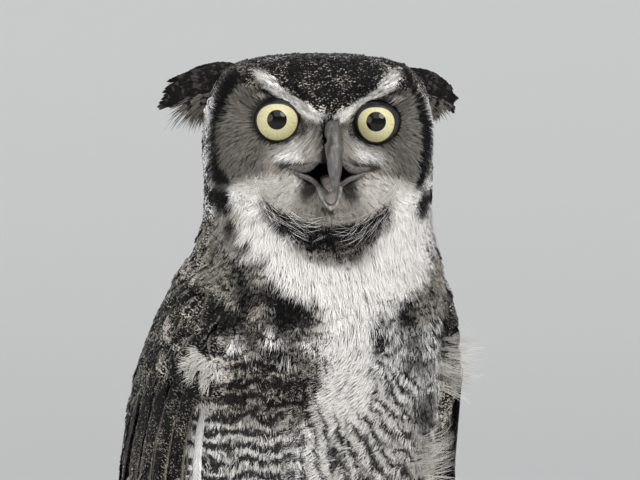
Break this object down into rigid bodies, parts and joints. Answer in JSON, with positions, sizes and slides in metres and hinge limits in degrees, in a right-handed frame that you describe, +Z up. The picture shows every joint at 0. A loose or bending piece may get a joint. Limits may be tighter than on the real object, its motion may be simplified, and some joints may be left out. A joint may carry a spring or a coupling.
{
  "type": "great horned owl",
  "caption": "Life-size standing great horned owl with folded wings, its head turned slightly to its right, ear tufts laid out sideways and the bill parted.",
  "frame": {"origin": "bottom centre of the bounding box, on the floor", "axes": "+Z up; the owl's chest faces -Y and its own left side is +X"},
  "size_m": [0.2028, 0.2436, 0.45],
  "materials": {
    "plumage": "barred contour feathers, dark grey-brown with pale bars",
    "throat": "soft white bib feathers under a dark ruff",
    "face": "fine grey facial disc bristles with a black rim",
    "quills": "smooth banded flight and tail feathers",
    "tufts": "long dark ear tuft feathers",
    "legs": "short dense pale leg and toe feathering",
    "eye": "wet gloss, pale yellow iris round a black pupil",
    "horn": "smooth dark horn, satin gloss",
    "tongue": "moist flesh"
  },
  "bodies": {
    "root": {"trunk": "plumage", "neck": "throat", "head": "face", "eye_left": "eye", "eye_right": "eye", "ear_tuft_left": "tufts", "ear_tuft_right": "tufts", "bill_upper": "horn", "tongue": "tongue", "bill_lower": "horn", "tail": "quills", "wing_left": "plumage", "flight_feathers_left": "quills", "thigh_left": "legs", "shank_left": "legs", "foot_left": "legs", "toe_inner_left": "legs", "talon_inner_left": "horn", "toe_middle_left": "legs", "talon_middle_left": "horn", "toe_outer_left": "legs", "talon_outer_left": "horn", "toe_hind_left": "legs", "talon_hind_left": "horn", "wing_right": "plumage", "flight_feathers_right": "quills", "thigh_right": "legs", "shank_right": "legs", "foot_right": "legs", "toe_inner_right": "legs", "talon_inner_right": "horn", "toe_middle_right": "legs", "talon_middle_right": "horn", "toe_outer_right": "legs", "talon_outer_right": "horn", "toe_hind_right": "legs", "talon_hind_right": "horn"}
  },
  "joints": []
}
